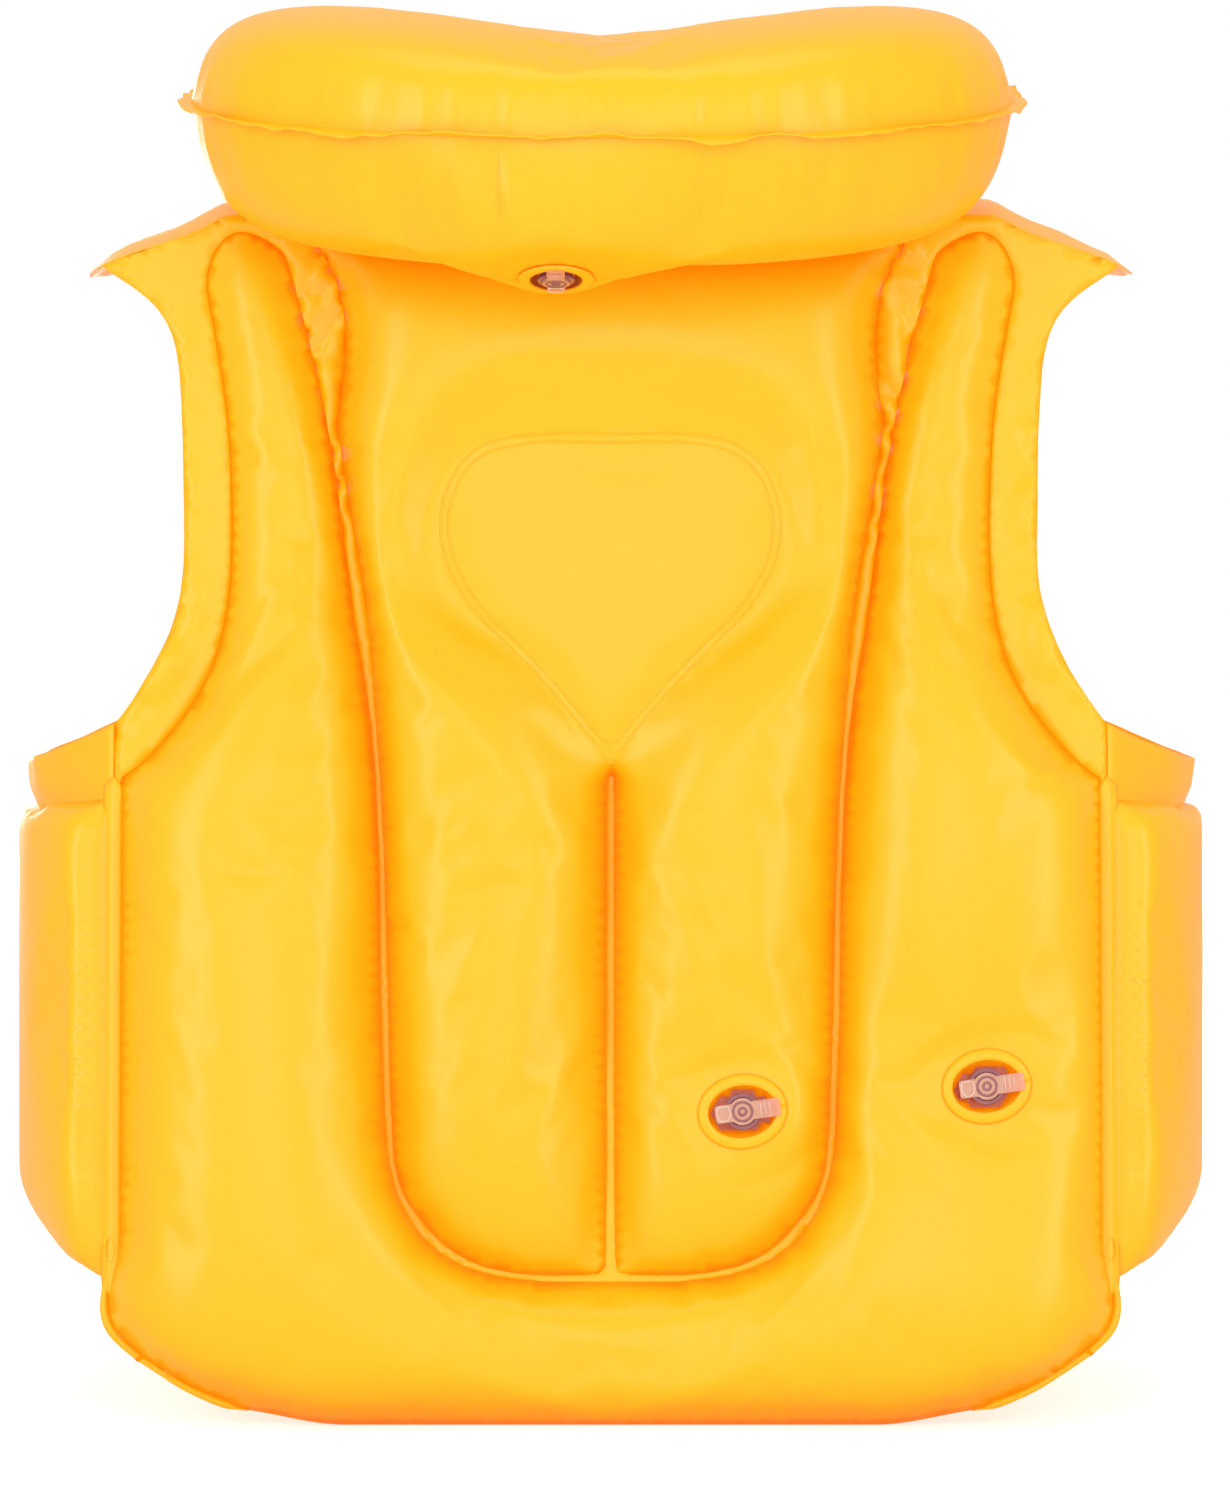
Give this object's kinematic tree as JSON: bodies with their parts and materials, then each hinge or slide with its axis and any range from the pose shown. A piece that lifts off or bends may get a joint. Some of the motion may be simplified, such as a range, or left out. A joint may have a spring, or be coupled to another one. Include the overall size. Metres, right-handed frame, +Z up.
{
  "type": "inflatable life jacket",
  "caption": "Child-size inflatable life jacket: welded chambers, head pillow collar, recessed stopper valves and a front that opens.",
  "frame": {"origin": "on the floor, under the middle of the whole jacket's bounding box", "axes": "+Z up; the wearer faces +Y, so the back panel faces -Y; the wearer's left is -X"},
  "size_m": [0.4238, 0.2803, 0.5052],
  "materials": {
    "film": "satin inflated PVC film, warm yellow",
    "valve_plastic": "soft clear plastic with a peach tint",
    "webbing": "black woven webbing",
    "buckle": "black moulded plastic",
    "patch": "thicker welded film"
  },
  "bodies": {
    "back": {"back_outer_chamber": "film", "back_shield_chamber": "film", "back_web": "film", "left_side_chamber": "film", "right_side_chamber": "film", "left_underarm_web": "film", "right_underarm_web": "film", "left_shoulder_web": "film", "right_shoulder_web": "film", "collar_web": "film", "shield_valve_base": "valve_plastic", "outer_valve_base": "valve_plastic"},
    "left_front": {"left_front_chamber": "film", "left_front_web": "film", "upper_left_patch": "patch", "upper_left_strap": "webbing", "upper_socket": "buckle", "lower_left_patch": "patch", "lower_left_strap": "webbing", "lower_socket": "buckle"},
    "right_front": {"right_front_chamber": "film", "right_front_web": "film", "upper_right_patch": "patch", "upper_keeper": "buckle", "lower_right_patch": "patch", "lower_keeper": "buckle"},
    "upper_clip_strap": {"upper_clip": "buckle", "upper_right_strap": "webbing"},
    "lower_clip_strap": {"lower_clip": "buckle", "lower_right_strap": "webbing"},
    "collar": {"collar_pillow": "film", "collar_valve_base": "valve_plastic"},
    "shield_stem": {"shield_valve_stem": "valve_plastic"},
    "shield_cap": {"shield_valve_cap": "valve_plastic"},
    "shield_flap": {"shield_valve_flap": "valve_plastic"},
    "outer_stem": {"outer_valve_stem": "valve_plastic"},
    "outer_cap": {"outer_valve_cap": "valve_plastic"},
    "outer_flap": {"outer_valve_flap": "valve_plastic"},
    "collar_stem": {"collar_valve_stem": "valve_plastic"},
    "collar_cap": {"collar_valve_cap": "valve_plastic"},
    "collar_flap": {"collar_valve_flap": "valve_plastic"}
  },
  "joints": [
    {"name": "left_front_swing", "type": "hinge", "parent": "back", "child": "left_front", "pos_m": [-0.1755, 0.1221, 0], "axis": [0, -0.1149, 0.9934], "range_deg": [0, 80]},
    {"name": "right_front_swing", "type": "hinge", "parent": "back", "child": "right_front", "pos_m": [0.1755, 0.1221, 0], "axis": [0, 0.1149, -0.9934], "range_deg": [0, 80]},
    {"name": "collar_lift", "type": "hinge", "parent": "back", "child": "collar", "pos_m": [-0.003, 0.0331, 0.436], "axis": [-1, 0, 0], "range_deg": [0, 45]},
    {"name": "upper_clip_slide", "type": "slide", "parent": "right_front", "child": "upper_clip_strap", "axis": [-1, 0, 0], "range_m": [0, 0.0375]},
    {"name": "lower_clip_slide", "type": "slide", "parent": "right_front", "child": "lower_clip_strap", "axis": [-1, 0, 0], "range_m": [0, 0.0375]},
    {"name": "shield_stem_pull", "type": "slide", "parent": "back", "child": "shield_stem", "axis": [0, -0.9934, 0.1149], "range_m": [0, 0.0068]},
    {"name": "shield_cap_open", "type": "hinge", "parent": "shield_stem", "child": "shield_cap", "pos_m": [0.0373, -0.07376, 0.11205], "axis": [0.1392, -0.1138, -0.9837], "range_deg": [0, 115]},
    {"name": "shield_flap_open", "type": "hinge", "parent": "shield_stem", "child": "shield_flap", "pos_m": [0.04294, -0.05102, 0.11022], "axis": [-0.1392, 0.1138, 0.9837], "range_deg": [0, 50]},
    {"name": "outer_stem_pull", "type": "slide", "parent": "back", "child": "outer_stem", "axis": [0, -0.9934, 0.1149], "range_m": [0, 0.0068]},
    {"name": "outer_cap_open", "type": "hinge", "parent": "outer_stem", "child": "outer_cap", "pos_m": [0.1243, -0.07272, 0.12099], "axis": [0.1392, -0.1138, -0.9837], "range_deg": [0, 115]},
    {"name": "outer_flap_open", "type": "hinge", "parent": "outer_stem", "child": "outer_flap", "pos_m": [0.12994, -0.04999, 0.11916], "axis": [-0.1392, 0.1138, 0.9837], "range_deg": [0, 50]},
    {"name": "collar_stem_pull", "type": "slide", "parent": "collar", "child": "collar_stem", "axis": [0, -0.2756, -0.9613], "range_m": [0, 0.0068]},
    {"name": "collar_cap_open", "type": "hinge", "parent": "collar_stem", "child": "collar_cap", "pos_m": [-0.019, -0.09307, 0.40543], "axis": [1, 0, 0], "range_deg": [0, 115]},
    {"name": "collar_flap_open", "type": "hinge", "parent": "collar_stem", "child": "collar_flap", "pos_m": [-0.019, -0.09227, 0.42892], "axis": [-1, 0, 0], "range_deg": [0, 50]}
  ]
}
